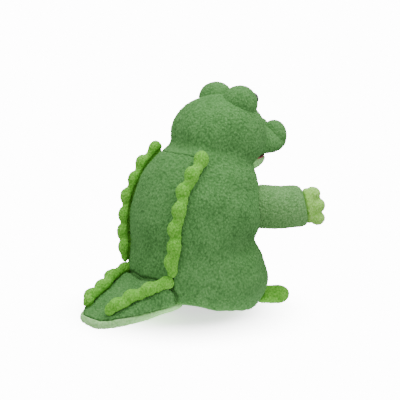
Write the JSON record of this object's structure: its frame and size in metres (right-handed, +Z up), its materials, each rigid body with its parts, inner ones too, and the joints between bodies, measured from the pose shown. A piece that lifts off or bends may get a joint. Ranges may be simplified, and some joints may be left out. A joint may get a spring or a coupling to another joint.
{
  "type": "moving mouth hand puppet",
  "caption": "Sitting plush reptile hand puppet with a hand sleeve, turning and nodding head, opening jaw, lifting arms, feet and tail, and scalloped back ridges.",
  "frame": {"origin": "on the ground, under the middle of the whole puppet from snout to tail tip", "axes": "+Z up, -Y the way the puppet faces, +Y towards the tail tip, +X its left side"},
  "size_m": [0.2114, 0.2965, 0.2757],
  "materials": {
    "green_plush": "short pile plush, dark green",
    "mint_plush": "short pile plush, pale mint",
    "lime_plush": "short pile plush, lime",
    "hem_plush": "turned and sewn plush hem",
    "stuffing": "polyester fibre filling",
    "lining_cloth": "smooth woven lining",
    "mouth_cloth": "short knit mouth lining",
    "mouth_board": "stiff felt board",
    "eye_plastic": "gloss black moulded eye",
    "washer_plastic": "moulded lock washer"
  },
  "bodies": {
    "trunk": {"back_panel": "green_plush", "right_side_panel": "green_plush", "left_side_panel": "green_plush", "belly_panel": "mint_plush", "trunk_fill": "stuffing", "hand_lining": "lining_cloth", "hem_band": "hem_plush", "right_back_ridge": "lime_plush", "left_back_ridge": "lime_plush"},
    "neck": {"neck_cover": "green_plush", "neck_fill": "stuffing", "neck_lining": "lining_cloth"},
    "head": {"head_cover": "green_plush", "snout_cover": "green_plush", "head_fill": "stuffing", "finger_pocket": "lining_cloth", "palate": "mouth_cloth", "palate_board": "mouth_board", "right_nostril_mound": "green_plush", "left_nostril_mound": "green_plush", "right_eye_mound": "green_plush", "left_eye_mound": "green_plush", "right_eye": "eye_plastic", "left_eye": "eye_plastic", "right_eye_washer": "washer_plastic", "left_eye_washer": "washer_plastic"},
    "jaw": {"jaw_cover": "mint_plush", "jaw_fill": "stuffing", "jaw_lining": "mouth_cloth", "jaw_board": "mouth_board", "thumb_pocket": "lining_cloth"},
    "right_arm": {"right_arm_cover": "green_plush", "right_arm_fill": "stuffing", "right_paw": "lime_plush"},
    "left_arm": {"left_arm_cover": "green_plush", "left_arm_fill": "stuffing", "left_paw": "lime_plush"},
    "right_foot": {"right_foot_cover": "lime_plush", "right_foot_fill": "stuffing"},
    "left_foot": {"left_foot_cover": "lime_plush", "left_foot_fill": "stuffing"},
    "tail": {"tail_top": "green_plush", "tail_underside": "mint_plush", "tail_fill": "stuffing", "right_tail_ridge": "lime_plush", "left_tail_ridge": "lime_plush"}
  },
  "joints": [
    {"name": "head_turn", "type": "hinge", "parent": "trunk", "child": "neck", "pos_m": [0, -0.0485, 0.208], "axis": [0, 0, 1], "range_deg": [-15, 15], "stiffness_Nm_per_rad": 0.4},
    {"name": "head_nod", "type": "hinge", "parent": "neck", "child": "head", "pos_m": [0, -0.0485, 0.208], "axis": [1, 0, 0], "range_deg": [-15, 5], "stiffness_Nm_per_rad": 0.4},
    {"name": "jaw_open", "type": "hinge", "parent": "head", "child": "jaw", "pos_m": [0, -0.0685, 0.1832], "axis": [1, 0, 0], "range_deg": [0, 24], "stiffness_Nm_per_rad": 0.15},
    {"name": "right_arm_raise", "type": "hinge", "parent": "trunk", "child": "right_arm", "pos_m": [-0.06096, -0.09459, 0.127], "axis": [-0.7804, 0.6252, 0], "range_deg": [-40, 25], "stiffness_Nm_per_rad": 0.1},
    {"name": "left_arm_raise", "type": "hinge", "parent": "trunk", "child": "left_arm", "pos_m": [0.06096, -0.09459, 0.127], "axis": [-0.7804, -0.6252, 0], "range_deg": [-40, 25], "stiffness_Nm_per_rad": 0.1},
    {"name": "right_foot_flop", "type": "hinge", "parent": "trunk", "child": "right_foot", "pos_m": [-0.0455, -0.09731, 0.01], "axis": [-0.866, 0.5, 0], "range_deg": [-30, 30], "stiffness_Nm_per_rad": 0.05},
    {"name": "left_foot_flop", "type": "hinge", "parent": "trunk", "child": "left_foot", "pos_m": [0.0455, -0.09731, 0.01], "axis": [-0.866, -0.5, 0], "range_deg": [-30, 30], "stiffness_Nm_per_rad": 0.05},
    {"name": "tail_lift", "type": "hinge", "parent": "trunk", "child": "tail", "pos_m": [0, 0.0655, 0.028], "axis": [1, 0, 0], "range_deg": [-20, 25], "stiffness_Nm_per_rad": 0.3}
  ]
}
